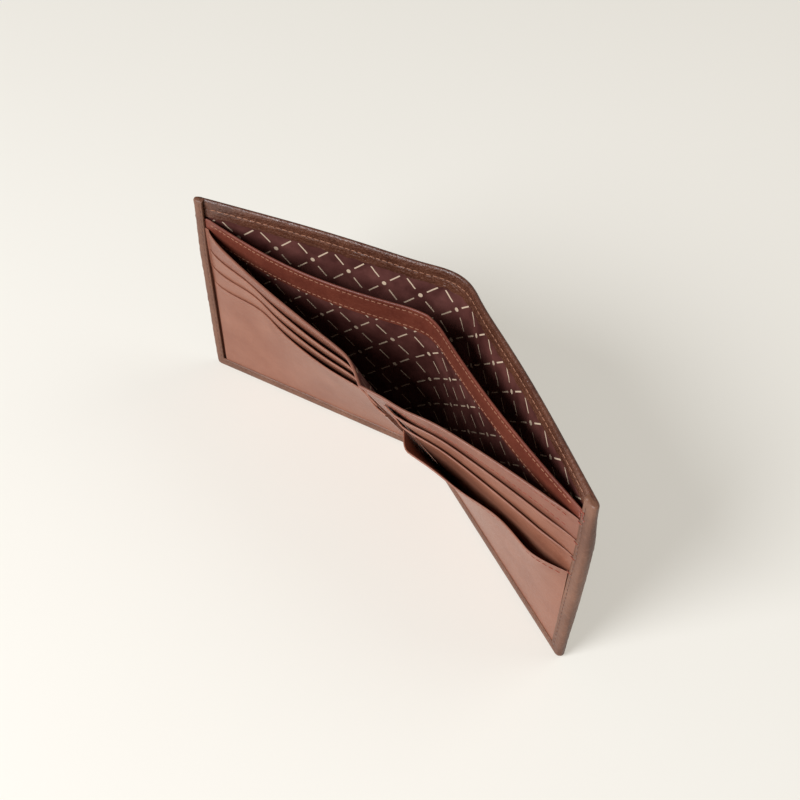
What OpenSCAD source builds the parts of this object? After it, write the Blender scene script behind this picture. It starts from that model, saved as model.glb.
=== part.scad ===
// Bifold wallet standing on its lower edges, opened to about 145 degrees.
// Millimetres. The origin is the foot of the fold, +Z is up, the card pockets face -Y
// and each half runs away from the fold along X, swept back towards -Y.
// Every layer is a thin sheet: a surface y = front(x, z) with a thickness behind it.

/* [Cover] */
// Length of each half, from the fold to its open end
half_length = 114; // [112:1:118]
// Height of the cover
cover_height = 95; // [93:1:100]
// Angle by which each half is swept back from the X axis
half_sweep = 17.65; // [15:0.05:20]
// Thickness of the whole stack of layers at the lower edges
stack_low = 4.6; // [4.6:0.1:5.4]
// Thickness of the stack where the top hem begins
stack_mid = 3.7; // [3.7:0.05:4.4]
// Thickness of the stack at the top edge
stack_top = 2.2; // [2.2:0.05:2.6]
// How far the middle of the cover's top edge bows outwards
cover_bow = 12; // [6:0.1:14]
// Extra outward bow of the spine itself
spine_bow = 2.5; // [0:0.1:4]
// Half the width of the soft spine strip
spine_half = 11; // [9:0.5:12]
// Height of the hem turned in along the cover's top
hem_height = 9; // [8:0.5:10]
// Width of the cover leather turned over the front at the sides and the bottom
turned_edge = 5; // [4:0.25:6]

/* [Inside] */
// Height of the inner panel that carries the card pockets
panel_height = 81; // [79:0.5:83]
// Height of the divider between the two note compartments
divider_height = 85.5; // [84.5:0.25:85.5]
// Height of the leather band along the divider's top
band_height = 12; // [8:0.5:12]
// Height of the lowest pocket's lip
lip_height = 52; // [48:0.5:54]
// Step from one pocket lip to the next
lip_step = 9; // [8:0.25:9]
// How far the inner panel's top leans out at its crease
crease_lean = 42; // [30:1:44]
// Extra ridge of the inner panel at the crease
crease_ridge = 2.5; // [0:0.5:4]
// Extra fullness of the inner panel to the right of the crease
right_fullness = 2; // [0:0.5:4]
// Place of the crease of the inner panel along X
crease_x = 8; // [2:0.5:9]
// Place of the extra fullness along X
fullness_x = 27; // [20:1:30]
// Left end of the right-hand pocket stack along X
right_stack_x = 16.5; // [16:0.5:20]
// How far the front pocket on the right gapes
gape = 8; // [0:0.5:9]
// How far the divider's top leans out at the fold
divider_lean = 3.8; // [2:0.1:4]
// Extra lean of the divider's left half
left_lobe = 6.5; // [0:0.5:7]
// Extra lean of the divider's right half
right_lobe = 2; // [0:0.5:3]

/* [Leather, board and cloth] */
// Thickness of the cover leather
cover_t = 0.8; // [0.7:0.05:0.8]
// Thickness of the stiffening board
board_t = 0.4; // [0.3:0.05:0.4]
// Thickness of the lining cloth
lining_t = 0.15; // [0.1:0.01:0.15]
// Thickness of the cover leather where it is skived and turned in
turned_t = 0.6; // [0.5:0.05:0.6]
// Thickness of the top hem
hem_t = 0.5; // [0.4:0.05:0.5]
// Thickness of the inner leathers
inner_t = 0.45; // [0.4:0.01:0.45]
// Thickness of the divider's own cloth
divider_t = 0.2; // [0.15:0.01:0.2]

/* [Stitching] */
// Distance from one stitch to the next
stitch_pitch = 3; // [2.5:0.25:6]
// Length of a stitch
stitch_length = 2.2; // [1.2:0.1:2.3]
// Radius of the thread
thread_r = 0.2; // [0.12:0.01:0.25]
// Distance of the seam from the inner border of the turned edge
edge_seam = 1.4; // [1:0.1:2]
// Distance of the hem's seam below the cover's top
hem_seam = 3.5; // [2:0.25:6]
// Distance of the band's two seams from its borders
band_seam = 1.6; // [1:0.1:2.5]
// Distance of the inner panel's seam below its top
panel_seam = 2.2; // [1.5:0.1:3]
// Distance of the seam of the right half's card slots below the panel's top
slot_seam = 8.4; // [6:0.2:9]
// Distance of the front pocket's seam below its lip
lip_seam = 2.4; // [1.5:0.1:4]
// Length of the bars of thread that lock the corners
bartack_length = 2; // [1:0.1:2.2]

/* [Hidden] */
LEFT = -1;
RIGHT = 1;
clear = 0.05;
tiny = 0.01;
margin = 1;
slant = 1 / cos(half_sweep);
slope = tan(half_sweep);
end_x = (half_length - turned_t) * cos(half_sweep);
pocket_end_x = end_x - 3.5;
lean_end_x = (half_length - turned_edge) * cos(half_sweep) - margin;
row_end_x = end_x - 6;
board_x = spine_half + 3;
hem_z = cover_height - hem_height;
board_top = divider_height;
band_z = divider_height - band_height;
lip_middle = lip_height + lip_step;
lip_upper = lip_height + 2 * lip_step;
layer = inner_t + clear;
thread_sink = 0.05;
thread_sides = 16;

// Widths and powers that shape the bows and leans
spine_bow_width = 14;
left_fall = 0.77;
right_fall = 1.08;
ridge_width = 12;
fullness_width = 10;

// Depth of each layer's front face behind the wallet's inner face, at the foot
lower_depth = turned_t + clear;
middle_depth = lower_depth + layer;
upper_depth = middle_depth + layer;
panel_depth = upper_depth + layer;
panel_lining_depth = panel_depth + inner_t + clear;
divider_depth = panel_lining_depth + lining_t + clear;

cover_brown = "#58311f";
inner_tan = "#a3745f";
band_red = "#6b3527";
lining_plum = "#4c3233";
board_grey = "#8c7f6c";
thread_tan = "#a9724a";

// 0 at or below a, 1 at or above b, and straight between them
function ramp(v, a, b) = min(1, max(0, (v - a) / (b - a)));

// The wallet's inner face at the foot: two straight halves with a rounded fold
function foot(x) =
    abs(x) < spine_half
        ? -slope * (x * x + spine_half * spine_half) / (2 * spine_half)
        : -slope * abs(x);

// Thickness of the whole stack, less at the top, where fewer layers lie
function stack(z) =
    stack_low
    - (stack_low - stack_mid) * ramp(z, lip_height, hem_z)
    - (stack_mid - stack_top) * ramp(z, hem_z, cover_height);

// How far the layers move forward as the pockets in front of them end
function settle(z) = 3 * layer * ramp(z, lip_height, panel_height);

// Outward bow of the cover
function bow(x, z) =
    (cover_bow * (1 - pow(x / end_x, 2)) + spine_bow * exp(-pow(x / spine_bow_width, 2)))
    * z / cover_height;

// Lean of the inner panel and its pockets, growing from the turned edge to the panel's top
function panel_shape(x) =
    let (reach = abs((x < crease_x ? -lean_end_x : lean_end_x) - crease_x))
    let (share = max(0, 1 - abs(x - crease_x) / reach))
    crease_lean * pow(share, x < crease_x ? left_fall : right_fall)
    + crease_ridge * exp(-pow((x - crease_x) / ridge_width, 2))
    + right_fullness * exp(-pow((x - fullness_x) / fullness_width, 2));
function panel_lean(x, z) = panel_shape(x) * ramp(z, turned_edge, panel_height);

// Lean of the divider, growing from the turned edge to the divider's top
function divider_shape(x) =
    let (share = min(1, abs(x) / lean_end_x))
    divider_lean * (1 - share * share)
    + (x < 0 ? left_lobe : right_lobe) * sin(180 * share);
function divider_lean_at(x, z) = divider_shape(x) * ramp(z, turned_edge, divider_height);

// Front faces of the layers
function at_depth(x, depth) = foot(x) + depth * slant;
function cover_face(x, z, inset) = at_depth(x, stack(z) - inset) + bow(x, z);
function panel_face(x, z, depth) = at_depth(x, depth - settle(z)) - panel_lean(x, z);
function divider_face(x, z, step) =
    at_depth(x, divider_depth - settle(z) + step) - divider_lean_at(x, z);
function cover_front(x, z) = cover_face(x, z, cover_t);
function hem_front(x, z) = cover_face(x, z, cover_t + clear + hem_t);
function board_front(x, z) = cover_face(x, z, cover_t + clear + board_t);
function lining_front(x, z) = cover_face(x, z, cover_t + board_t + lining_t + 2 * clear);
function divider_front(x, z) =
    divider_face(x, z, (inner_t + 2 * clear) * ramp(z, lip_upper, band_z));
function band_front(x, z) = divider_face(x, z, 0);
function panel_lining_front(x, z) = panel_face(x, z, panel_lining_depth);
function panel_front(x, z) = panel_face(x, z, panel_depth);
function upper_front(x, z) = panel_face(x, z, upper_depth);
function middle_front(x, z) = panel_face(x, z, middle_depth);
function lower_front(x, z) = panel_face(x, z, lower_depth);
function gaping_front(x, z) =
    let (share = ramp(x, right_stack_x, pocket_end_x))
    lower_front(x, z)
    - gape * pow(sin(180 * sqrt(share)), 2) * pow(ramp(z, turned_edge, lip_height), 2);

// Places between a and b in n equal steps, without the last one
function steps(a, b, n) = [for (i = [0 : n - 1]) a + (b - a) * i / n];

// All sheets share these lines, so that neighbouring sheets bend at the same places
X_LINES = concat(
    steps(-end_x, -pocket_end_x, 1), steps(-pocket_end_x, -lean_end_x, 1),
    steps(-lean_end_x, -board_x, 9),
    steps(-board_x, -spine_half, 1), steps(-spine_half, 0, 3), steps(0, crease_x, 2),
    steps(crease_x, spine_half, 1), steps(spine_half, board_x, 1),
    steps(board_x, right_stack_x, 1), steps(right_stack_x, lean_end_x, 9),
    steps(lean_end_x, pocket_end_x, 1), steps(pocket_end_x, end_x, 1), [end_x]
);
Z_LINES = concat(
    steps(turned_t + clear, turned_edge, 1), steps(turned_edge, lip_height, 5),
    [lip_height, lip_middle, lip_upper, band_z, panel_height, divider_height, hem_z],
    [(hem_z + cover_height) / 2, cover_height]
);
function between(lines, a, b) =
    concat([a], [for (v = lines) if (v > a + tiny && v < b - tiny) v], [b]);

// Front face of a sheet as it is built: flat between one line and the next
function built_front(x, z, front) =
    let (i = max([for (k = [0 : len(X_LINES) - 2]) if (X_LINES[k] <= x) k]))
    let (share = ramp(x, X_LINES[i], X_LINES[i + 1]))
    front(X_LINES[i], z) * (1 - share) + front(X_LINES[i + 1], z) * share;

// A thin closed sheet over x_from..x_to and z_from..z_to
module sheet(x_from, x_to, z_from, z_to, front, thickness) {
    xs = between(X_LINES, x_from, x_to);
    zs = between(Z_LINES, z_from, z_to);
    columns = len(xs);
    rows = len(zs);
    count = columns * rows;
    function corner(i, j, side) = side * count + i * rows + j;
    points = [
        for (side = [0, 1])
            for (x = xs)
                for (z = zs)
                    [x, front(x, z) + side * thickness * slant, z]
    ];
    faces = concat(
        [for (i = [0 : columns - 2]) for (j = [0 : rows - 2]) for (half = [0, 1])
            half == 0
                ? [corner(i, j, 0), corner(i, j + 1, 0), corner(i + 1, j + 1, 0)]
                : [corner(i, j, 0), corner(i + 1, j + 1, 0), corner(i + 1, j, 0)]],
        [for (i = [0 : columns - 2]) for (j = [0 : rows - 2]) for (half = [0, 1])
            half == 0
                ? [corner(i, j, 1), corner(i + 1, j + 1, 1), corner(i, j + 1, 1)]
                : [corner(i, j, 1), corner(i + 1, j, 1), corner(i + 1, j + 1, 1)]],
        [for (i = [0 : columns - 2]) for (end = [0, 1])
            end == 0
                ? [corner(i, 0, 0), corner(i + 1, 0, 0), corner(i + 1, 0, 1), corner(i, 0, 1)]
                : [corner(i, rows - 1, 1), corner(i + 1, rows - 1, 1),
                   corner(i + 1, rows - 1, 0), corner(i, rows - 1, 0)]],
        [for (j = [0 : rows - 2]) for (end = [0, 1])
            end == 0
                ? [corner(0, j, 1), corner(0, j + 1, 1), corner(0, j + 1, 0), corner(0, j, 0)]
                : [corner(columns - 1, j, 0), corner(columns - 1, j + 1, 0),
                   corner(columns - 1, j + 1, 1), corner(columns - 1, j, 1)]]
    );
    polyhedron(points = points, faces = faces, convexity = 6);
}

// A sheet on one side of the wallet, from inner_x to outer_x away from the fold
module half_sheet(side, inner_x, outer_x, z_from, z_to, front, thickness) {
    if (side == LEFT)
        sheet(-outer_x, -inner_x, z_from, z_to, front, thickness);
    else
        sheet(inner_x, outer_x, z_from, z_to, front, thickness);
}

// Puts a shape drawn along +X into one half: X runs from the fold, Y behind the inner face
module in_half(side) {
    mirror([side == LEFT ? 1 : 0, 0, 0]) rotate([0, 0, -half_sweep]) children();
}

// One stitch: a straight bit of thread between two places
module stitch(from, to) {
    way = to - from;
    flat = norm([way.x, way.y]);
    translate(from)
        rotate([0, 0, atan2(way.y, way.x)])
            rotate([0, 90 - atan2(way.z, flat), 0])
                cylinder(h = norm(way), r = thread_r, $fn = thread_sides);
}

// A row of stitches across a sheet at one height
module stitch_row(x_from, x_to, z, front) {
    count = floor((x_to - x_from) / stitch_pitch);
    for (i = [0 : count - 1]) {
        a = x_from + i * stitch_pitch;
        b = a + stitch_length;
        stitch([a, built_front(a, z, front) + thread_sink, z],
               [b, built_front(b, z, front) + thread_sink, z]);
    }
}

// A row of stitches on one side of the wallet
module half_stitch_row(side, inner_x, outer_x, z, front) {
    if (side == LEFT)
        stitch_row(-outer_x, -inner_x, z, front);
    else
        stitch_row(inner_x, outer_x, z, front);
}

// Outer cover leather of one half
module cover(side) {
    color(cover_brown)
        half_sheet(side, spine_half + clear, end_x - clear, turned_t + clear, cover_height,
                   function(x, z) cover_front(x, z), cover_t);
}

// The soft strip of the cover leather that bends round the fold
module cover_spine() {
    color(cover_brown)
        sheet(-spine_half, spine_half, turned_t + clear, cover_height,
              function(x, z) cover_front(x, z), cover_t);
}

// Cover leather turned over the front along the open end and the foot of one half
module turned_edge(side) {
    skin = turned_t;
    color(cover_brown)
        in_half(side)
            difference() {
                union() {
                    // flaps on the front
                    translate([half_length - turned_edge, 0, 0])
                        cube([turned_edge, skin, cover_height]);
                    cube([half_length, skin, turned_edge]);
                    // foot under the stack
                    cube([half_length, stack_low, skin]);
                    // wall along the open end, tapering with the stack
                    intersection() {
                        linear_extrude(height = cover_height)
                            polygon([
                                [half_length, 0], [half_length, stack_low],
                                [half_length - skin - stack_low * slope, stack_low],
                                [half_length - skin, 0]
                            ]);
                        translate([half_length + tiny, 0, 0])
                            rotate([90, 0, -90])
                                linear_extrude(height = 2 * turned_edge)
                                    polygon([
                                        [0, 0], [-stack_low, 0], [-stack_low, lip_height],
                                        [-stack_mid, hem_z], [-stack_top, cover_height],
                                        [0, cover_height]
                                    ]);
                    }
                }
                // cut square to X where the spine begins
                rotate([0, 0, half_sweep])
                    translate([-2 * spine_half, -half_length / 2, -margin])
                        cube([3 * spine_half + clear, half_length, cover_height + 2 * margin]);
            }
}

// The same turned leather where it crosses the foot of the fold
module turned_edge_spine() {
    color(cover_brown)
        union() {
            sheet(-spine_half, spine_half, 0, turned_edge,
                  function(x, z) at_depth(x, 0), turned_t);
            sheet(-spine_half, spine_half, 0, turned_t,
                  function(x, z) at_depth(x, 0), stack_low);
        }
}

// Cover leather turned in along the top edge of one half
module top_hem(side) {
    color(cover_brown)
        half_sheet(side, spine_half + clear, end_x - clear, hem_z, cover_height,
                   function(x, z) hem_front(x, z), hem_t);
}

// The turned-in top edge where it crosses the fold
module top_hem_spine() {
    color(cover_brown)
        sheet(-spine_half, spine_half, hem_z, cover_height,
              function(x, z) hem_front(x, z), hem_t);
}

// Stiffening board behind the cover leather
module stiffener(side) {
    color(board_grey)
        half_sheet(side, board_x, end_x - clear, turned_t + clear, board_top,
                   function(x, z) board_front(x, z), board_t);
}

// Lining cloth of the cover
module cover_lining(side) {
    color(lining_plum)
        half_sheet(side, spine_half + clear, end_x - clear, turned_t + clear, board_top,
                   function(x, z) lining_front(x, z), lining_t);
}

// Lining cloth of the cover at the fold
module cover_lining_spine() {
    color(lining_plum)
        sheet(-spine_half, spine_half, turned_t + clear, board_top,
              function(x, z) lining_front(x, z), lining_t);
}

// Cloth divider between the two note compartments
module divider(side) {
    color(lining_plum)
        half_sheet(side, clear, end_x - clear, turned_t + clear, divider_height,
                   function(x, z) divider_front(x, z), divider_t);
}

// Leather band on the front of the divider's top
module divider_band(side) {
    color(band_red)
        half_sheet(side, clear, end_x - clear, band_z, divider_height,
                   function(x, z) band_front(x, z), inner_t);
}

// Lining cloth on the back of the inner panel
module panel_lining_left() {
    color(lining_plum)
        sheet(-end_x + clear, crease_x - clear, turned_t + clear, panel_height,
              function(x, z) panel_lining_front(x, z), lining_t);
}

module panel_lining_right() {
    color(lining_plum)
        sheet(crease_x, end_x - clear, turned_t + clear, panel_height,
              function(x, z) panel_lining_front(x, z), lining_t);
}

// Leather inner panel that the pockets are sewn to
module inner_panel_left() {
    color(inner_tan)
        sheet(-end_x + clear, crease_x - clear, turned_t + clear, panel_height,
              function(x, z) panel_front(x, z), inner_t);
}

module inner_panel_right() {
    color(inner_tan)
        sheet(crease_x, end_x - clear, turned_t + clear, panel_height,
              function(x, z) panel_front(x, z), inner_t);
}

// A card pocket of the left half
module left_pocket(lip, front) {
    color(inner_tan)
        sheet(-pocket_end_x, crease_x - clear, turned_t + clear, lip, front, inner_t);
}

// A card pocket of the right half
module right_pocket(lip, front) {
    color(inner_tan)
        sheet(right_stack_x, pocket_end_x, turned_t + clear, lip, front, inner_t);
}

// Stitches through the turned edge of one half
module edge_stitches(side) {
    inset = turned_edge - edge_seam;
    start = inset + margin;
    run = half_length - start - spine_half * slant - margin;
    rise = cover_height - 2 * start;
    color(thread_tan)
        in_half(side) {
            for (i = [1 : floor(run / stitch_pitch)])
                translate([half_length - start - i * stitch_pitch, thread_sink, inset])
                    rotate([0, 90, 0])
                        cylinder(h = stitch_length, r = thread_r, $fn = thread_sides);
            for (i = [0 : floor(rise / stitch_pitch) - 1])
                translate([half_length - inset, thread_sink, start + i * stitch_pitch])
                    cylinder(h = stitch_length, r = thread_r, $fn = thread_sides);
        }
}

// Stitches through the top hem of one half
module hem_stitches(side) {
    color(thread_tan)
        half_stitch_row(side, spine_half + margin, row_end_x, cover_height - hem_seam,
                        function(x, z) hem_front(x, z));
}

module hem_stitches_spine() {
    color(thread_tan)
        stitch_row(-spine_half + margin / 2, spine_half, cover_height - hem_seam,
                   function(x, z) hem_front(x, z));
}

// Two rows of stitches through the divider's band
module divider_stitches(side) {
    color(thread_tan)
        for (z = [band_z + band_seam, divider_height - band_seam])
            half_stitch_row(side, margin, row_end_x, z, function(x, z) band_front(x, z));
}

// Stitches along the top of the inner panel's left part
module panel_stitches_left() {
    color(thread_tan)
        stitch_row(-row_end_x, crease_x - 2 * margin, panel_height - panel_seam,
                   function(x, z) panel_front(x, z));
}

// Two rows of stitches along the top of the inner panel's right part
module panel_stitches_right() {
    color(thread_tan)
        for (drop = [panel_seam, slot_seam])
            stitch_row(right_stack_x, row_end_x, panel_height - drop,
                       function(x, z) panel_front(x, z));
}

// Stitches below the lip of the front pocket on the right
module front_pocket_stitches() {
    color(thread_tan)
        stitch_row(right_stack_x + 3 * margin, pocket_end_x - 3 * margin, lip_height - lip_seam,
                   function(x, z) gaping_front(x, z));
}

// Short bars of thread that lock the pockets' corners at the right-hand edge
module corner_bartacks() {
    start = half_length - turned_edge + edge_seam + 3 * thread_r;
    color(thread_tan)
        in_half(RIGHT)
            for (z = [lip_height, lip_middle, lip_upper, panel_height])
                translate([start, thread_sink, z])
                    rotate([0, 90, 0])
                        cylinder(h = bartack_length, r = thread_r, $fn = thread_sides);
}

cover(LEFT);  // cover_left
cover(RIGHT);  // cover_right
cover_spine();
turned_edge(LEFT);  // turned_edge_left
turned_edge(RIGHT);  // turned_edge_right
turned_edge_spine();
top_hem(LEFT);  // top_hem_left
top_hem(RIGHT);  // top_hem_right
top_hem_spine();
stiffener(LEFT);  // stiffener_left
stiffener(RIGHT);  // stiffener_right
cover_lining(LEFT);  // cover_lining_left
cover_lining(RIGHT);  // cover_lining_right
cover_lining_spine();
divider(LEFT);  // divider_left
divider(RIGHT);  // divider_right
divider_band(LEFT);  // divider_band_left
divider_band(RIGHT);  // divider_band_right
panel_lining_left();
panel_lining_right();
inner_panel_left();
inner_panel_right();
left_pocket(lip_upper, function(x, z) upper_front(x, z));  // card_pocket_left_upper
left_pocket(lip_middle, function(x, z) middle_front(x, z));  // card_pocket_left_middle
left_pocket(lip_height, function(x, z) lower_front(x, z));  // card_pocket_left_lower
right_pocket(lip_upper, function(x, z) upper_front(x, z));  // card_pocket_right_upper
right_pocket(lip_middle, function(x, z) middle_front(x, z));  // card_pocket_right_middle
right_pocket(lip_height, function(x, z) gaping_front(x, z));  // card_pocket_right_front
edge_stitches(LEFT);  // edge_stitches_left
edge_stitches(RIGHT);  // edge_stitches_right
hem_stitches(LEFT);  // hem_stitches_left
hem_stitches(RIGHT);  // hem_stitches_right
hem_stitches_spine();
divider_stitches(LEFT);  // divider_stitches_left
divider_stitches(RIGHT);  // divider_stitches_right
panel_stitches_left();
panel_stitches_right();
front_pocket_stitches();
corner_bartacks();
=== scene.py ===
"""Bifold wallet: leather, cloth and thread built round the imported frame. Lengths are in mm until
the meshes are made. The cover's back faces +Y, the card pockets face -Y and +Z is up."""
import math

import bmesh
import bpy
import numpy as np
from mathutils import Matrix, Vector


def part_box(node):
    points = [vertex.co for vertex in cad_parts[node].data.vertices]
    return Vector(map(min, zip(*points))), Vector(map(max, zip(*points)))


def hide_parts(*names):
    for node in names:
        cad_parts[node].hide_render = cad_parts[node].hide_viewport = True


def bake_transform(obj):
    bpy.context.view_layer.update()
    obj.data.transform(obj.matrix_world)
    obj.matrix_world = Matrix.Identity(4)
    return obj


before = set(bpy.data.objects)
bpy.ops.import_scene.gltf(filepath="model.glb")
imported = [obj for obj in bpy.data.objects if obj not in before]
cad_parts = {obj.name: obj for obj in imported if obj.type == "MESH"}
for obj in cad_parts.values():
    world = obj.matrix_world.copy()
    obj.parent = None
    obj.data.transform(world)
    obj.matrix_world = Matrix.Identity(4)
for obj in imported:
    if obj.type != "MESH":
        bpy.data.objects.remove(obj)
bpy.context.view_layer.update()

MM = 0.001


def low(node):
    """Lowest corner of a CAD node, in mm."""
    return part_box(node)[0] / MM


def high(node):
    """Highest corner of a CAD node, in mm."""
    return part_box(node)[1] / MM


# ---------------------------------------------------------------- dimensions

# Angle each half is swept forward by, and the length of a half
SWEEP = math.radians(17.65)
SLOPE = math.tan(SWEEP)
COS = math.cos(SWEEP)
HALF = -low("turned_edge_right").y / math.sin(SWEEP)

# Heights
COVER_TOP = high("cover_left").z
PANEL_TOP = high("inner_panel_left").z
DIVIDER_TOP = high("divider_left").z
BAND_FOOT = low("divider_band_left").z
LIP_LOW = high("card_pocket_left_lower").z
LIP_MIDDLE = high("card_pocket_left_middle").z
LIP_HIGH = high("card_pocket_left_upper").z
HEM_FOOT = low("top_hem_left").z
HEM_SEAM = COVER_TOP - 4.8
LINING_TOP = 90
TAPER_FROM = 86
BOARD_FOOT = 3
BOARD_TOP = 85
SHEET_FOOT = 1

# Places along X
SPINE = high("cover_spine").x
CREASE_X = low("inner_panel_right").x
LEFT_END = CREASE_X - 2.2
STACK_X = low("card_pocket_right_upper").x
POCKET_END_X = high("card_pocket_right_upper").x
END_X = (HALF - 1.2) * COS

# Turned edge: the roll's width, the flap's height along the foot, its width on the left (-1) and
# right (1) ends, the width its section is drawn at, its rise over the face and its seam's inset.
# The straight part of an open end starts at CORNER_TOP, and no layer leans beyond LEAN_END_X.
ROLL = 2.5
FLAP = high("turned_edge_spine").z
FLAP_WIDTH = {-1: 4.5, 1: 5.7}
FLAP_DRAWN = 5.0
FLAP_RISE = 0.08
SEAM_INSET = 3.7
CORNER_TOP = 5.6
LEAN_END_X = (HALF - FLAP) * COS - 1

# Thickness of the whole wallet, from its foot to its top and along the open ends
THICK_LOW = 4.6
THICK_MIDDLE = 3.7
THICK_TOP = 2.2
THICK_END = 3.7
END_SWELL = 0.8
END_TAPER = 1.6

# Cover: its skin, the depth of the hem's turn, its bow, and how far the open ends spread
SKIN_T = 0.8
HEM_DEPTH = 1.95
COVER_BOW = 12.2
FOLD_BOW = 2.5
END_SPREAD = 4.4
END_DRAW_IN = 1.6
RIGHT_SPREAD = 1.5

# Distance of the lining's and the board's front face from the cover's back
LINING_IN = 1.45
BOARD_IN = 1.25

# Depth of each layer's front face behind the wallet's inner face, at the foot
LOWER_DEPTH = 0.65
MIDDLE_DEPTH = 1.15
UPPER_DEPTH = 1.65
PANEL_DEPTH = 2.15
PANEL_LINING_DEPTH = 2.65
DIVIDER_DEPTH = 2.9

# How far the layers have moved forward at the panel's top, the least gap between them, and how
# far the panel's top leans forward at its crease
LAYERS_OUT = 1.5
LAYER_GAP = 0.06
PANEL_LEAN = 42

# Thickness of the sheets
CLOTH_T = 0.12
DIVIDER_T = 0.2
BAND_T = 0.8
PANEL_T = 0.42
POCKET_T = 0.4
BOARD_T = 0.35

# Stitches: pitch, length and the thread's radius
EDGE_STITCH = (2.6, 1.9, 0.17)
BAND_STITCH = (2.4, 1.7, 0.16)
PANEL_STITCH = (2.4, 1.7, 0.13)
SLOT_STITCH = (2.4, 1.6, 0.16)
BARTACK_RADIUS = 0.22
STITCH_SIDES = 8


# ---------------------------------------------------------------- shape functions


def ramp(v, a, b):
    """0 at a, 1 at b, straight between them."""
    return np.clip((v - a) / (b - a), 0, 1)


def ease(v, a, b):
    """0 at a, 1 at b, smooth between them."""
    t = ramp(v, a, b)
    return t * t * (3 - 2 * t)


def hump(v, centre, width):
    """A smooth bump of height 1."""
    return np.exp(-(((v - centre) / width) ** 2))


def ripple(x, z, size, seed):
    """Smooth noise between about -1 and 1, with waves of about the given size."""
    total = 0.0 * (x + z)
    for i in range(9):
        angle = 2.39996 * i + seed
        wave = 2 * math.pi / (size * (0.7 + 0.09 * i))
        phase = 1.7 * seed + 2.1 * i
        total = total + np.sin(wave * (x * math.cos(angle) + z * math.sin(angle)) + phase)
    return total / 4.5


def foot(x):
    """The wallet's inner face at the foot: two straight halves with a rounded fold."""
    return np.where(
        np.abs(x) < SPINE,
        -SLOPE * (x * x + SPINE**2) / (2 * SPINE),
        -SLOPE * np.abs(x),
    )


def back_normal(x):
    """Unit normal of that face in plan, pointing to the back."""
    slope = SLOPE * np.clip(x / SPINE, -1, 1)
    length = np.sqrt(1 + slope * slope)
    return slope / length, 1 / length


def end_share(x):
    """0 over most of a half, rising to 1 at its open end."""
    return ramp(np.abs(x), 78, 106) ** 2


def bow(x, z):
    """Outward bow of the cover, growing with height and a little fuller at the fold."""
    share = np.minimum(1, np.abs(x) / (HALF * COS))
    return (COVER_BOW * (1 - share**2) + FOLD_BOW * hump(x, 0, 14)) * z / COVER_TOP


def thickness(x, z):
    """Thickness of the whole wallet, fuller along the open ends."""
    middle = (
        THICK_LOW
        - (THICK_LOW - THICK_MIDDLE) * ramp(z, LIP_LOW, TAPER_FROM)
        - (THICK_MIDDLE - THICK_TOP) * ramp(z, TAPER_FROM, COVER_TOP)
    )
    ends = THICK_END + END_SWELL * ease(z, 4, 40) - END_TAPER * ease(z, 70, COVER_TOP)
    return middle + (ends - middle) * end_share(x)


def layer(depth, x, z):
    """Depth of an inner layer: it moves forward as the pockets in front of it end, and the
    layers close up towards the open ends."""
    close_up = 1 - 0.25 * end_share(x)
    return (depth - LAYERS_OUT * ramp(z, LIP_LOW, PANEL_TOP)) * close_up


def panel_top_lean(x):
    """Lean of the inner panel's top: it falls away on both sides of the crease."""
    reach = np.where(x < CREASE_X, LEAN_END_X + CREASE_X, LEAN_END_X - CREASE_X)
    share = np.clip(1 - np.abs(x - CREASE_X) / reach, 0, 1)
    fall = np.where(x < CREASE_X, 0.77, 1.08)
    return PANEL_LEAN * share**fall + 2.5 * hump(x, CREASE_X, 12) + 2 * hump(x, 27, 10)


def panel_lean(x, z):
    """Lean of the inner panel, with the shallow dent of its left part and the fuller crease."""
    rise = ramp(z, FLAP, PANEL_TOP)
    fullness = 3.5 * hump(x, CREASE_X - 8, 9) - 3.0 * hump(x, -77, 14)
    return panel_top_lean(x) * rise + fullness * np.sin(math.pi * rise)


def divider_lean(x, z):
    """Lean of the divider: slight at the fold, with a lobe in each half."""
    share = np.minimum(1, np.abs(x) / LEAN_END_X)
    lobe = np.where(x < 0, 6.5, 2.0) * np.sin(math.pi * share)
    return (3.8 * (1 - share**2) + lobe) * ramp(z, FLAP, DIVIDER_TOP)


def left_window(x):
    """Where the left pockets' lips stand off from each other."""
    return np.sin(math.pi * ramp(x, -72, CREASE_X - 2) ** 1.25) ** 1.2


def right_window(x):
    """Where the right pockets' lips stand off, pinned at both ends."""
    return ease(x, STACK_X - 4, STACK_X + 5) * (1 - ease(x, 86, POCKET_END_X - 1))


def left_gap(x, z, lip, amount):
    """Gap in front of the layer behind, reaching amount at the lip."""
    return LAYER_GAP + amount * left_window(x) * np.clip(z / lip, 0, 1) ** 3


def right_gap(x, z, lip, amount, extra):
    """The same on the right, with extra more at the pockets' inner end."""
    height = np.clip(z / lip, 0, 1) ** 3
    return LAYER_GAP + (amount + extra * hump(x, STACK_X + 2, 9)) * right_window(x) * height


def gape(x, z):
    """How far the front pocket on the right hangs open."""
    ends = ease(x, STACK_X - 3, STACK_X + 10) * (1 - ramp(x, 86, POCKET_END_X) ** 1.6)
    wave = 2.6 * hump(x, 71, 14) + 0.9 * ease(x, 50, 86)
    return (7.0 - wave) * ends * ramp(z, FLAP, LIP_LOW) ** 2


# Each surface gives (depth along the back normal, lean towards -Y) of a layer's front face


def panel_front(x, z):
    return layer(PANEL_DEPTH, x, z), panel_lean(x, z)


def panel_lining_front(x, z):
    return layer(PANEL_LINING_DEPTH, x, z), panel_lean(x, z)


def left_upper(x, z):
    lean = panel_lean(x, z) + left_gap(x, z, LIP_HIGH, 1.7)
    return layer(UPPER_DEPTH, x, z), lean


def left_middle(x, z):
    lean = left_upper(x, z)[1] + left_gap(x, z, LIP_MIDDLE, 1.5)
    return layer(MIDDLE_DEPTH, x, z), lean


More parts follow.
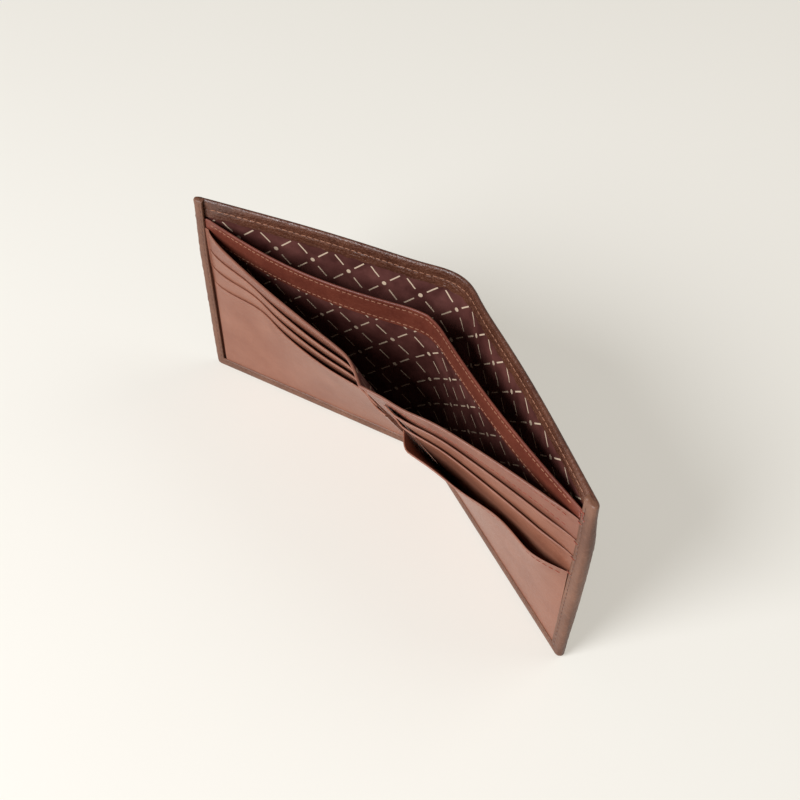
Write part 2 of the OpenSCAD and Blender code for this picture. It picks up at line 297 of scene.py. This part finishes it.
def left_lower(x, z):
    lean = left_middle(x, z)[1] + left_gap(x, z, LIP_LOW, 1.9)
    return LOWER_DEPTH, lean


def right_upper(x, z):
    lean = panel_lean(x, z) + right_gap(x, z, LIP_HIGH, 0.7, 1.0)
    return layer(UPPER_DEPTH, x, z), lean


def right_middle(x, z):
    lean = right_upper(x, z)[1] + right_gap(x, z, LIP_MIDDLE, 0.7, 0.3)
    return layer(MIDDLE_DEPTH, x, z), lean


def right_front(x, z):
    lean = right_middle(x, z)[1] + gape(x, z) + 0.05
    return LOWER_DEPTH, lean


def divider_front(x, z):
    return layer(DIVIDER_DEPTH, x, z) + 0.3, divider_lean(x, z)


def band_front(x, z):
    return layer(DIVIDER_DEPTH, x, z), divider_lean(x, z)


def lining_front(x, z):
    crumple = 0.22 * ripple(x, z, 7, 1.0) * ease(z, 60, 84) + 0.1 * ripple(x, z, 16, 2.0)
    return thickness(x, z) - LINING_IN - np.abs(crumple), -bow(x, z)


def board_front(x, z):
    return thickness(x, z) - BOARD_IN, -bow(x, z)


def hem_groove(x, z):
    """Near the bottom of the groove that the hem's stitches lie in."""
    return thickness(x, z) - HEM_DEPTH + 0.2, -bow(x, z)


def place(x, z, depth, lean):
    """A point of a layer: base point x at height z, moved back by depth and forward by lean."""
    nx, ny = back_normal(x)
    return np.stack([x + depth * nx, foot(x) + depth * ny - lean, z + 0.0 * x], -1)


def at(surface, x, z):
    """Point, back normal and upward tangent of a layer's front face."""
    step = 0.05

    def spot(u, v):
        return place(u, v, *surface(u, v))

    along = spot(x + step, z) - spot(x - step, z)
    up = spot(x, z + step) - spot(x, z - step)
    normal = np.cross(up, along)
    normal /= np.linalg.norm(normal, axis=-1, keepdims=True)
    up /= np.linalg.norm(up, axis=-1, keepdims=True)
    return spot(x, z), normal, up


def spread_ends(points):
    """Spreads the open ends outwards on their way up, the right one a little more, and draws
    them in again at the top."""
    moved = points.copy()
    x, z = points[:, 0], points[:, 2]
    spread = END_SPREAD * z / COVER_TOP - END_DRAW_IN * ease(z, 62, COVER_TOP + 4)
    spread = spread + np.where(x > 0, RIGHT_SPREAD, 0)
    out = spread * ramp(np.abs(x), 40, 108) ** 2
    moved[:, 0] += np.sign(x) * out * COS
    moved[:, 1] -= out * math.sin(SWEEP)
    return moved


# ---------------------------------------------------------------- meshes and pieces


def bend(obj):
    """Bakes the piece's transform into its mesh and reads its points; it does not move them."""
    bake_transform(obj)
    co = np.zeros(len(obj.data.vertices) * 3, np.float64)
    obj.data.vertices.foreach_get("co", co)


def piece(name, points, faces, flat, material, nodes):
    """Makes one piece from points in mm. flat holds its place on the flat sheet, in mm."""
    mesh = bpy.data.meshes.new(name)
    mesh.from_pydata((spread_ends(points) * MM).tolist(), [], faces)
    mesh.attributes.new("flat", "FLOAT_VECTOR", "POINT").data.foreach_set(
        "vector", flat.astype(np.float32).ravel()
    )
    bm = bmesh.new()
    bm.from_mesh(mesh)
    bmesh.ops.remove_doubles(bm, verts=bm.verts, dist=1e-6)
    bmesh.ops.dissolve_degenerate(bm, edges=bm.edges, dist=1e-7)
    bmesh.ops.recalc_face_normals(bm, faces=bm.faces)
    bm.to_mesh(mesh)
    bm.free()
    mesh.polygons.foreach_set("use_smooth", [True] * len(mesh.polygons))
    mesh.set_sharp_from_angle(angle=math.radians(50))
    mesh.materials.append(material)
    obj = bpy.data.objects.new(name, mesh)
    bpy.context.scene.collection.objects.link(obj)
    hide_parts(*nodes)
    bend(obj)
    return obj


def spaced(a, b, step):
    """Values from a to b, about step apart."""
    return np.linspace(a, b, max(2, int(round((b - a) / step)) + 1))


def columns(a, b):
    """Places of a sheet's columns, closer together near the fold and the crease."""
    values = [spaced(a, b, 1.6), spaced(-SPINE, SPINE + 8, 0.7), [CREASE_X]]
    merged = np.unique(np.round(np.concatenate(values), 3))
    return merged[(merged >= a - 1e-9) & (merged <= b + 1e-9)]


def loft(count, size, closed_ends=True):
    """Faces between count closed rings of size points each, numbered ring after ring."""
    faces = []
    for i in range(count - 1):
        for j in range(size):
            k = (j + 1) % size
            faces.append((i * size + j, i * size + k, (i + 1) * size + k, (i + 1) * size + j))
    if closed_ends:
        faces.append(tuple(range(size)))
        faces.append(tuple(reversed(range((count - 1) * size, count * size))))
    return faces


def strip_ends(count, size, front, cap):
    """Faces that close both ends of a thin sheet, whose ring runs up the front, over a
    rounded top of cap points and down the back."""
    faces = []
    for first, flip in ((0, False), ((count - 1) * size, True)):
        for k in range(front - 1):
            a, b = first + k, first + k + 1
            c, d = first + size - 2 - k, first + size - 1 - k
            faces.append((a, b, c, d) if flip else (a, d, c, b))
        top = [first + k for k in range(front - 1, front + cap + 1)]
        faces.append(tuple(top) if flip else tuple(reversed(top)))
    return faces


def sheet(name, x_from, x_to, z_from, z_to, surface, thick, material, nodes,
          lip=0.0, groove=0.0):
    """A closed sheet with a rounded top. lip swells the top forward, and groove is the depth
    of the line pressed below it; both fade out at the turned edges."""
    xs = columns(x_from, x_to)
    radius = (thick + lip) / 2
    top = z_to - radius
    fine_from = top - 3.4
    zs = np.concatenate([spaced(z_from, fine_from, 2.4)[:-1], spaced(fine_from, top, 0.28)])
    angles = np.linspace(0, math.pi, 8)[1:-1]
    ring_z = np.concatenate([zs, np.full(len(angles), top), zs[::-1]])
    swell = np.concatenate([
        lip * ease(zs, z_to - 2.0, z_to - 1.1) - groove * hump(zs, z_to - 2.5, 0.32),
        lip * (1 + np.cos(angles)) / 2,
        0 * zs,
    ])
    plain = np.concatenate([0 * zs, thick * (1 - np.cos(angles)) / 2, 0 * zs + thick])
    full = 1 - ease(np.abs(xs), LEAN_END_X - 14, LEAN_END_X)
    ring_d = plain[None, :] - full[:, None] * swell[None, :]
    ring_up = np.concatenate([0 * zs, radius * np.sin(angles), 0 * zs])
    gx, gz = np.meshgrid(xs, ring_z, indexing="ij")
    point, normal, up = at(surface, gx, gz)
    points = (point + normal * ring_d[:, :, None] + up * ring_up[None, :, None]).reshape(-1, 3)
    flat = np.stack([gx, gz + ring_up[None, :], ring_d], -1).reshape(-1, 3)
    size = len(ring_z)
    faces = loft(len(xs), size, closed_ends=False)
    faces += strip_ends(len(xs), size, len(zs), len(angles))
    return piece(name, points, faces, flat, material, nodes)


def cover_leather(material):
    """The cover's skin, its rounded top and the hem turned in along it."""
    xs = columns(-(HALF - ROLL) * COS, (HALF - ROLL) * COS)
    radius = HEM_DEPTH / 2
    top = COVER_TOP - radius
    fine_from = top - 4
    zs = np.concatenate([
        [ROLL],
        spaced(CORNER_TOP, fine_from, 2.4)[:-1],
        spaced(fine_from, top, 0.5),
    ])
    angles = np.linspace(0, math.pi, 12)[1:-1]
    share = np.linspace(0, 1, 26)
    rings, flats = [], []
    for x in xs:
        edge = HEM_FOOT + 0.45 * ripple(x, 0, 6.0, 3.0) + 0.25 * ripple(x, 0, 1.7, 4.0)
        hem = top + (edge - top) * share
        hem_back = hem[::-1][:-6]
        fold = 0.36 * ripple(x, hem, 2.8, 5.0) * ramp(share, 0.35, 0.9)
        press = 0.25 * hump(hem, HEM_SEAM, 0.45) - 0.12 * hump(hem, COVER_TOP - 2.2, 0.8)
        z = np.concatenate([zs, 0 * angles + top, hem, hem_back, zs[::-1]])
        inset = np.concatenate([
            0 * zs,
            radius * (1 - np.cos(angles)),
            HEM_DEPTH - press + np.abs(fold),
            0 * hem_back + HEM_DEPTH - 0.45,
            0 * zs + SKIN_T,
        ])
        up = np.concatenate([0 * zs, radius * np.sin(angles), 0 * hem, 0 * hem_back, 0 * zs])
        gx = x + 0 * z
        depth = thickness(gx, z) - inset
        point = place(gx, z, depth, -bow(gx, z))
        point[:, 2] += up
        rings.append(point)
        flats.append(np.stack([gx, z + up, depth], -1))
    faces = loft(len(xs), len(rings[0]))
    nodes = [f"{part}_{where}" for part in ("cover", "top_hem")
             for where in ("left", "right", "spine")]
    return piece("cover_leather", np.concatenate(rings), faces, np.concatenate(flats),
                 material, nodes)


def flap_inset(inset, side):
    """Real inset along one half of a point of the turned edge's section."""
    scale = (FLAP_WIDTH[side] - ROLL) / (FLAP_DRAWN - ROLL)
    return np.where(inset <= ROLL, inset, ROLL + (inset - ROLL) * scale)


def rolled_edge(material):
    """The cover leather rolled over the open ends and the foot, with its flap on the front."""
    top_rows = COVER_TOP - np.array([0.7, 0.4, 0.15, 0])
    rows = np.concatenate([spaced(CORNER_TOP, COVER_TOP - 1, 1.2), top_rows])
    fan = np.linspace(0, math.pi / 2, 7)
    straight = HALF - 7
    middle = columns(-straight * COS, straight * COS)

    # the section, from the flap's cut edge over the roll to the back: inset from the outline,
    # depth as a share of the thickness, and depth in mm
    section = [(FLAP_DRAWN, 0, 0.62), (FLAP_DRAWN, 0, 0.3), (4.88, 0, 0.08), (4.7, 0, 0.0)]
    for flat_part in spaced(3.0, 4.6, 0.2)[::-1]:
        groove = 0.16 * hump(flat_part, SEAM_INSET, 0.28)
        section.append((flat_part, 0, groove - FLAP_RISE))
    for angle in np.linspace(0, math.pi, 15):
        turned = (1 - math.cos(angle)) / 2
        section.append((2.3 * (1 - math.sin(angle) ** 0.8), turned, -FLAP_RISE * (1 - turned)))
    section += [(ROLL, 1, 0), (ROLL, 0, 0.7)]
    inset, share, extra = np.array(section).T
    rolled = (share > 0) & (share < 1)

    rings, flats = [], []

    def add(a, z, running, close=0.0):
        """One ring: a is the signed distance from the fold along the half, running the place
        along the edge, and close rounds the section off towards the hem's ridge."""
        x = a * COS
        wall = thickness(x, np.maximum(z, 0))
        depth = share * wall + extra
        depth += (wall - HEM_DEPTH / 2 - depth) * 0.7 * close
        lean = -bow(x, z) * np.clip(depth / wall, 0, 1)
        wrinkle = 0.15 * ripple(0 * z + 3.1 * running, 9 * share, 2.6, 6.0) * rolled
        out = np.where(np.abs(a) > straight, np.sign(a), 0) * wrinkle
        rings.append(place(x + out * COS, z, depth, lean + np.abs(out) * math.sin(SWEEP)))
        flats.append(np.stack([running + 0 * z, inset + 4 * share, depth], -1))

    def side_rings(side, heights):
        for z in heights:
            rise = max(0.0, z - (COVER_TOP - 1))
            close = 1 - math.sqrt(max(0.0, 1 - rise**2))
            a = HALF - flap_inset(inset, side) - 0.8 * close * (inset < ROLL)
            add(side * a, np.full(len(inset), z), side * (HALF + z), close)

    def corner(side, angles):
        for angle in angles:
            r = np.maximum(ROLL - inset, 0)
            a = HALF - ROLL + r * math.cos(angle)
            z = ROLL - r * math.sin(angle)
            a = np.where(inset > ROLL, HALF - flap_inset(inset, side), a)
            z = np.where(inset > ROLL, inset, z)
            add(side * a, z, side * (HALF - ROLL * angle))

    side_rings(-1, rows[::-1])
    corner(-1, fan)
    for a in middle / COS:
        add(np.full(len(inset), a), inset, a)
    corner(1, fan[::-1])
    side_rings(1, rows)
    faces = loft(len(rings), len(inset))
    nodes = ["turned_edge_left", "turned_edge_right", "turned_edge_spine"]
    return piece("rolled_edge", np.concatenate(rings), faces, np.concatenate(flats),
                 material, nodes)


def capsule(start, end, radius):
    """Rings of points round a stitch from start to end, with rounded ends."""
    axis = (end - start) / np.linalg.norm(end - start)
    side = np.cross(axis, np.array([0.31, 0.17, 0.93]))
    side /= np.linalg.norm(side)
    other = np.cross(axis, side)
    cap = (0.15, 0.7, 1.25)
    stations = [(start - axis * radius * (math.cos(t) - 1), radius * math.sin(t)) for t in cap]
    stations.append(((start + end) / 2, radius * 1.08))
    stations += [(end + axis * radius * (math.cos(t) - 1), radius * math.sin(t))
                 for t in reversed(cap)]
    turns = np.linspace(0, 2 * math.pi, STITCH_SIDES + 1)[:-1]
    return [
        centre + r * (np.cos(turns)[:, None] * side + np.sin(turns)[:, None] * other)
        for centre, r in stations
    ]


def threads(name, pairs, radius, material, nodes):
    """One piece made of many stitches, each between two points."""
    rings, faces = [], []
    for start, end in pairs:
        base = len(rings) * STITCH_SIDES
        stitch = capsule(start, end, radius)
        faces += [tuple(base + k for k in face) for face in loft(len(stitch), STITCH_SIDES)]
        rings += stitch
    points = np.concatenate(rings)
    return piece(name, points, faces, points, material, nodes)


def seam(surface, x_from, x_to, z, stitch):
    """Pairs of points for a row of stitches across a sheet, half sunk into it."""
    pitch, length, radius = stitch
    pairs = []
    for i in range(int((x_to - x_from) / pitch)):
        a = x_from + i * pitch
        tilt = 0.07 * (-1) ** i
        x = np.array([a, a + length])
        point, normal, _ = at(surface, x, z + np.array([-tilt, tilt]))
        lift = 0.06 - radius * 0.35
        point = point - normal * lift
        pairs.append((point[0], point[1]))
    return pairs


def on_face(a, z, depth):
    """Start and end of a stitch on the inner face, a being the distance along the half."""
    x = np.array(a) * COS
    ends = place(x, np.array(z), np.array(depth), 0 * x)
    return ends[0], ends[1]


def edge_seam(side):
    """Pairs of points for the seam through the flap of one half."""
    pitch, length, _ = EDGE_STITCH
    depth = (0.04, 0.04)
    across = flap_inset(SEAM_INSET, side)
    pairs = []
    for i in range(int((HALF - across - SPINE - 3) / pitch)):
        a = HALF - across - 1 - (i + 1) * pitch
        z = (SEAM_INSET - 0.06, SEAM_INSET + 0.06)
        pairs.append(on_face((a * side, (a + length) * side), z, depth))
    for i in range(int((COVER_TOP - SEAM_INSET - 5) / pitch)):
        a = (HALF - across) * side
        z = SEAM_INSET + 1.5 + i * pitch
        pairs.append(on_face((a, a), (z, z + length), depth))
    return pairs


def knots():
    """Short bars of thread that lock the corners at the right-hand edge, and a few loose ends
    at its top."""
    pairs = []
    flap = HALF - FLAP_WIDTH[1] - 0.2
    for z in (LIP_LOW, LIP_MIDDLE, LIP_HIGH, PANEL_TOP, DIVIDER_TOP + 1.5):
        pairs.append(on_face((flap - 0.6, flap + 1.6), (z - 0.1, z + 0.3), (-0.08, -0.05)))
    for i in range(7):
        a = flap - 0.2 + 0.42 * i + 0.2 * math.sin(5.0 * i)
        z = PANEL_TOP + 2.5 + 1.6 * (i % 3)
        pairs.append(on_face((a, a + 0.5 * math.cos(2.1 * i)), (z, z + 1.3), (-0.1, -0.06)))
    return pairs


# ---------------------------------------------------------------- materials


def linear(r, g, b):
    """Linear colour from 8-bit sRGB."""
    def one(v):
        v = v / 255
        return v / 12.92 if v <= 0.04045 else ((v + 0.055) / 1.055) ** 2.4

    return one(r), one(g), one(b), 1.0


class Nodes:
    """A material's node tree with short ways to add nodes."""

    def __init__(self, name):
        self.material = bpy.data.materials.new(name)
        self.material.use_nodes = True
        self.tree = self.material.node_tree
        self.shader = self.tree.nodes["Principled BSDF"]

    def add(self, kind, values=None, **settings):
        node = self.tree.nodes.new(kind)
        for key, value in settings.items():
            setattr(node, key, value)
        for key, value in (values or {}).items():
            self.put(node.inputs[key], value)
        return node

    def put(self, socket, value):
        if isinstance(value, bpy.types.NodeSocket):
            self.tree.links.new(value, socket)
        else:
            socket.default_value = value

    def math(self, operation, a, b=0.0):
        node = self.add("ShaderNodeMath", operation=operation)
        for socket, value in zip(node.inputs, (a, b)):
            self.put(socket, value)
        return node.outputs[0]

    def flat(self):
        """Place on the flat sheet, in mm."""
        node = self.add("ShaderNodeAttribute", attribute_name="flat")
        return node.outputs["Vector"]

    def stretch(self, vector, scale):
        node = self.add("ShaderNodeMapping", {"Vector": vector, "Scale": scale})
        return node.outputs[0]

    def noise(self, vector, scale, detail=3.0, roughness=0.55):
        values = {"Vector": vector, "Scale": scale, "Detail": detail, "Roughness": roughness}
        return self.add("ShaderNodeTexNoise", values).outputs["Fac"]

    def cells(self, vector, scale):
        values = {"Vector": vector, "Scale": scale}
        return self.add("ShaderNodeTexVoronoi", values).outputs["Distance"]

    def fit(self, value, a, b, c=0.0, d=1.0):
        """Maps a..b to c..d, and stays within them."""
        values = {"Value": value, "From Min": a, "From Max": b, "To Min": c, "To Max": d}
        return self.add("ShaderNodeMapRange", values).outputs["Result"]

    def mix(self, share, a, b):
        """Mixes two colours. A Mix node's colours are its inputs 6 and 7 and its output 2."""
        node = self.add("ShaderNodeMix", data_type="RGBA")
        self.put(node.inputs["Factor"], share)
        self.put(node.inputs[6], a)
        self.put(node.inputs[7], b)
        return node.outputs[2]

    def bump(self, height, strength, distance, normal=None):
        """Bump of the given depth in mm, over another bump's normal if there is one."""
        values = {"Height": height, "Strength": strength, "Distance": distance * MM}
        if normal is not None:
            values["Normal"] = normal
        return self.add("ShaderNodeBump", values).outputs["Normal"]

    def finish(self, colour, roughness, normal, specular, **more):
        self.put(self.shader.inputs["Base Color"], colour)
        self.put(self.shader.inputs["Roughness"], roughness)
        self.put(self.shader.inputs["Specular IOR Level"], specular)
        if normal is not None:
            self.put(self.shader.inputs["Normal"], normal)
        for key, value in more.items():
            self.put(self.shader.inputs[key.replace("_", " ")], value)
        return self.material


def leather(name, colour, dark, light, grain, depth, roughness, specular):
    """Leather with rounded grain of the given size and depth in mm, slow mottling and fine
    specks."""
    n = Nodes(name)
    flat = n.flat()
    warp = n.noise(flat, 0.9 / grain, 2.0)
    shifted = n.add("ShaderNodeVectorMath", operation="ADD")
    n.put(shifted.inputs[0], flat)
    spread = n.add("ShaderNodeVectorMath", operation="SCALE")
    combined = n.add("ShaderNodeCombineXYZ", {"X": warp, "Y": warp, "Z": 0.0})
    n.put(spread.inputs[0], combined.outputs[0])
    n.put(spread.inputs["Scale"], grain * 1.2)
    n.put(shifted.inputs[1], spread.outputs[0])
    cells = n.cells(shifted.outputs[0], 1.0 / grain)
    pores = n.noise(flat, 4.0 / grain, 4.0, 0.6)
    clouds = n.noise(flat, 0.055, 4.0, 0.6)
    specks = n.noise(flat, 0.7, 5.0, 0.65)
    tone = n.mix(n.fit(clouds, 0.35, 0.68), dark, colour)
    tone = n.mix(n.math("MULTIPLY", n.fit(specks, 0.5, 0.75), 0.35), tone, light)
    tone = n.mix(n.math("MULTIPLY", n.fit(cells, 0.55, 0.9), 0.3), tone, dark)
    height = n.math("ADD", n.math("MULTIPLY", cells, -0.8), n.math("MULTIPLY", pores, 0.35))
    slow = n.bump(n.noise(flat, 0.22, 3.0), 0.35, 0.4)
    normal = n.bump(height, 0.55, depth, slow)
    rough = n.fit(specks, 0.3, 0.75, roughness - 0.06, roughness + 0.08)
    return n.finish(tone, rough, normal, specular)


def lattice_cloth(name, colour, dark, pale):
    """Satin lining with pale dashes on both diagonals and a dot where they cross."""
    period = 15.4
    n = Nodes(name)
    flat = n.flat()
    split = n.add("ShaderNodeSeparateXYZ", {"Vector": flat})

    def from_crossing(axis, shift):
        """Distance along one axis from the nearest crossing, in periods."""
        turns = n.math("DIVIDE", n.math("ADD", split.outputs[axis], shift), period)
        return n.math("ABSOLUTE", n.math("SUBTRACT", n.math("FRACT", turns), 0.5))

    x = from_crossing(0, period / 2)
    z = from_crossing(1, 6.2)
    away = n.math("ABSOLUTE", n.math("SUBTRACT", x, z))
    away = n.math("MULTIPLY", away, period * 0.7071)
    line = n.fit(away, 0.24, 0.32, 1.0, 0.0)
    along = n.math("MULTIPLY", n.math("ADD", x, z), 0.5)
    dash = n.math("MULTIPLY", n.fit(along, 0.15, 0.155), n.fit(along, 0.40, 0.405, 1.0, 0.0))
    squares = n.math("ADD", n.math("MULTIPLY", x, x), n.math("MULTIPLY", z, z))
    away_dot = n.math("MULTIPLY", n.math("SQRT", squares), period)
    dot = n.fit(away_dot, 0.85, 0.95, 1.0, 0.0)
    mark = n.math("MAXIMUM", n.math("MULTIPLY", line, dash), dot)
    clouds = n.noise(flat, 0.09, 3.0)
    tone = n.mix(n.fit(clouds, 0.35, 0.65), dark, colour)
    tone = n.mix(mark, tone, pale)
    weave = n.noise(n.stretch(flat, (1.0, 6.0, 1.0)), 2.5, 2.0)
    creases = n.noise(n.stretch(flat, (1.0, 0.45, 1.0)), 0.28, 4.0, 0.6)
    normal = n.bump(weave, 0.3, 0.08, n.bump(creases, 0.5, 0.6))
    rough = n.fit(clouds, 0.3, 0.7, 0.42, 0.55)
    return n.finish(tone, rough, normal, 0.45)


def thread_material(name, colour, dark):
    """Thread with fine fibres."""
    n = Nodes(name)
    fibres = n.noise(n.flat(), 6.0)
    tone = n.mix(n.fit(fibres, 0.35, 0.65), dark, colour)
    return n.finish(tone, 0.65, n.bump(fibres, 0.5, 0.1), 0.3, Sheen_Weight=0.3)


def board_material():
    """Grey-brown fibre board."""
    n = Nodes("fibre_board")
    fibres = n.noise(n.stretch(n.flat(), (1.0, 4.0, 1.0)), 1.2, 5.0)
    tone = n.mix(fibres, linear(112, 98, 80), linear(158, 142, 120))
    return n.finish(tone, 0.85, n.bump(fibres, 0.3, 0.1), 0.2)


cover_brown = leather("cover_grain", linear(102, 61, 44), linear(72, 39, 27),
                      linear(146, 104, 82), 1.0, 0.5, 0.34, 0.55)
edge_brown = leather("edge_grain", linear(122, 82, 62), linear(94, 58, 42),
                     linear(152, 110, 87), 0.8, 0.2, 0.44, 0.45)
pocket_tan = leather("pocket_leather", linear(145, 95, 75), linear(131, 81, 62),
                     linear(160, 112, 90), 0.45, 0.12, 0.38, 0.5)
panel_tan = leather("panel_leather", linear(136, 87, 69), linear(121, 72, 56),
                    linear(153, 105, 85), 0.45, 0.12, 0.40, 0.45)
band_red = leather("band_leather", linear(122, 62, 46), linear(98, 45, 33),
                   linear(142, 80, 62), 0.45, 0.12, 0.42, 0.45)
lattice = lattice_cloth("lattice_lining", linear(98, 55, 49), linear(70, 35, 31),
                        linear(210, 186, 160))
tan_thread = thread_material("tan_thread", linear(176, 122, 92), linear(132, 84, 60))
rust_thread = thread_material("rust_thread", linear(152, 64, 38), linear(104, 40, 24))
brown_thread = thread_material("brown_thread", linear(120, 80, 62), linear(84, 52, 40))
board = board_material()


# ---------------------------------------------------------------- the wallet

cover_leather(cover_brown)
rolled_edge(edge_brown)
for side, name in ((-1, "left"), (1, "right")):
    inner, outer = sorted((side * (SPINE + 3), side * (HALF - 3) * COS))
    node = f"stiffener_{name}"
    sheet(node, inner, outer, BOARD_FOOT, BOARD_TOP, board_front, BOARD_T, board, [node])
lining_end = (HALF - 2.4) * COS
sheet("cover_lining", -lining_end, lining_end, SHEET_FOOT, LINING_TOP, lining_front, CLOTH_T,
      lattice, ["cover_lining_left", "cover_lining_right", "cover_lining_spine"])
sheet("divider_cloth", -END_X, END_X, SHEET_FOOT, DIVIDER_TOP - 2, divider_front, DIVIDER_T,
      lattice, ["divider_left", "divider_right"])
sheet("divider_band", -END_X, END_X, BAND_FOOT, DIVIDER_TOP, band_front, BAND_T, band_red,
      ["divider_band_left", "divider_band_right"], lip=0.25)
sheet("panel_lining", -END_X, END_X, SHEET_FOOT, PANEL_TOP - 0.9, panel_lining_front, CLOTH_T,
      lattice, ["panel_lining_left", "panel_lining_right"])
sheet("inner_panel", -END_X, END_X, SHEET_FOOT, PANEL_TOP, panel_front, PANEL_T, panel_tan,
      ["inner_panel_left", "inner_panel_right"], lip=0.75, groove=0.1)

for name, lip_z, surface in (
    ("upper", LIP_HIGH, left_upper),
    ("middle", LIP_MIDDLE, left_middle),
    ("lower", LIP_LOW, left_lower),
):
    node = f"card_pocket_left_{name}"
    sheet(node, -POCKET_END_X, LEFT_END, SHEET_FOOT, lip_z, surface, POCKET_T, pocket_tan,
          [node], lip=0.32, groove=0.08)
# The right pockets behind the front one start further left, by reach
for name, lip_z, surface, reach in (
    ("upper", LIP_HIGH, right_upper, 2.5),
    ("middle", LIP_MIDDLE, right_middle, 1.8),
    ("front", LIP_LOW, right_front, 0.0),
):
    node = f"card_pocket_right_{name}"
    sheet(node, STACK_X - reach, POCKET_END_X, SHEET_FOOT, lip_z, surface, POCKET_T, pocket_tan,
          [node], lip=0.32, groove=0.08)

for side, name in ((-1, "left"), (1, "right")):
    node = f"edge_stitches_{name}"
    threads(node, edge_seam(side), EDGE_STITCH[2], brown_thread, [node])
threads("hem_stitches", seam(hem_groove, -END_X + 5, END_X - 5, HEM_SEAM, EDGE_STITCH),
        EDGE_STITCH[2], tan_thread,
        ["hem_stitches_left", "hem_stitches_right", "hem_stitches_spine"])
band_rows = []
for z in (BAND_FOOT + 1.4, DIVIDER_TOP - 2.2):
    band_rows += seam(band_front, -END_X + 6, END_X - 8, z, BAND_STITCH)
threads("divider_stitches", band_rows, BAND_STITCH[2], tan_thread,
        ["divider_stitches_left", "divider_stitches_right"])
threads("panel_stitches_left",
        seam(panel_front, -END_X + 6, CREASE_X - 3, PANEL_TOP - 2.6, PANEL_STITCH),
        PANEL_STITCH[2], tan_thread, ["panel_stitches_left"])
slot_rows = []
for drop in (2.6, 8.2):
    slot_rows += seam(panel_front, STACK_X, END_X - 7, PANEL_TOP - drop, SLOT_STITCH)
threads("panel_stitches_right", slot_rows, SLOT_STITCH[2], rust_thread, ["panel_stitches_right"])
threads("front_pocket_stitches",
        seam(right_front, STACK_X + 3, POCKET_END_X - 3, LIP_LOW - 2.6, BAND_STITCH),
        BAND_STITCH[2], rust_thread, ["front_pocket_stitches"])
threads("corner_bartacks", knots(), BARTACK_RADIUS, rust_thread, ["corner_bartacks"])


# ---------------------------------------------------------------- floor, light and camera


def floor():
    """Pale floor, lifted by a little light of its own."""
    n = Nodes("pale_floor")
    where = n.add("ShaderNodeTexCoord").outputs["Object"]
    tone = n.mix(n.noise(where, 3.0), linear(198, 195, 190), linear(194, 191, 185))
    material = n.finish(tone, 0.8, None, 0.2, Emission_Color=linear(246, 241, 229),
                        Emission_Strength=0.44)
    reach = 30.0
    corners = [(-reach, -reach, 0), (reach, -reach, 0), (reach, reach, 0), (-reach, reach, 0)]
    mesh = bpy.data.meshes.new("floor")
    mesh.from_pydata(corners, [], [(0, 1, 2, 3)])
    mesh.materials.append(material)
    obj = bpy.data.objects.new("floor", mesh)
    bpy.context.scene.collection.objects.link(obj)


def area_light(name, place_at, aim, size, watts, colour):
    """A round soft light of the given size in metres."""
    data = bpy.data.lights.new(name, "AREA")
    data.shape = "DISK"
    data.size = size
    data.energy = watts
    data.color = colour
    obj = bpy.data.objects.new(name, data)
    obj.location = place_at
    obj.rotation_mode = "QUATERNION"
    obj.rotation_quaternion = (Vector(aim) - Vector(place_at)).to_track_quat("-Z", "Y")
    bpy.context.scene.collection.objects.link(obj)


def studio():
    """Even light from all round, brighter where the camera looks straight at it."""
    world = bpy.data.worlds.new("studio")
    world.use_nodes = True
    tree = world.node_tree
    sky = tree.nodes["Background"].inputs
    sky["Color"].default_value = (1.0, 0.98, 0.94, 1.0)
    seen = tree.nodes.new("ShaderNodeLightPath")
    level = tree.nodes.new("ShaderNodeMapRange")
    level.inputs["To Min"].default_value = 0.2
    level.inputs["To Max"].default_value = 0.53
    tree.links.new(seen.outputs["Is Camera Ray"], level.inputs["Value"])
    tree.links.new(level.outputs["Result"], sky["Strength"])
    bpy.context.scene.world = world
    bpy.context.scene.view_settings.view_transform = "Standard"


def add_camera():
    """Camera at the viewing angle, held by its place, its direction and its right-hand side."""
    data = bpy.data.cameras.new("camera")
    data.sensor_width = 36.0
    data.lens = 54.65
    data.clip_start = 0.01
    where = Vector((0.25063, -0.25754, 0.40468))
    forward = Vector((-0.50272, 0.48155, -0.7179)).normalized()
    sideways = Vector((0.67687, 0.73584, 0.01959))
    right = (sideways - forward * sideways.dot(forward)).normalized()
    turn = Matrix((right, right.cross(forward), -forward)).transposed()
    camera = bpy.data.objects.new("camera", data)
    camera.matrix_world = Matrix.Translation(where) @ turn.to_4x4()
    bpy.context.scene.collection.objects.link(camera)
    bpy.context.scene.camera = camera


floor()
area_light("window", (-0.15, -1.35, 0.92), (0, 0, 0.03), 0.9, 30.5, (0.975, 1.0, 1.04))
area_light("back", (0.7, 1.1, 1.3), (0, 0, 0.05), 1.4, 7.0, (1.0, 0.99, 0.975))
studio()
add_camera()
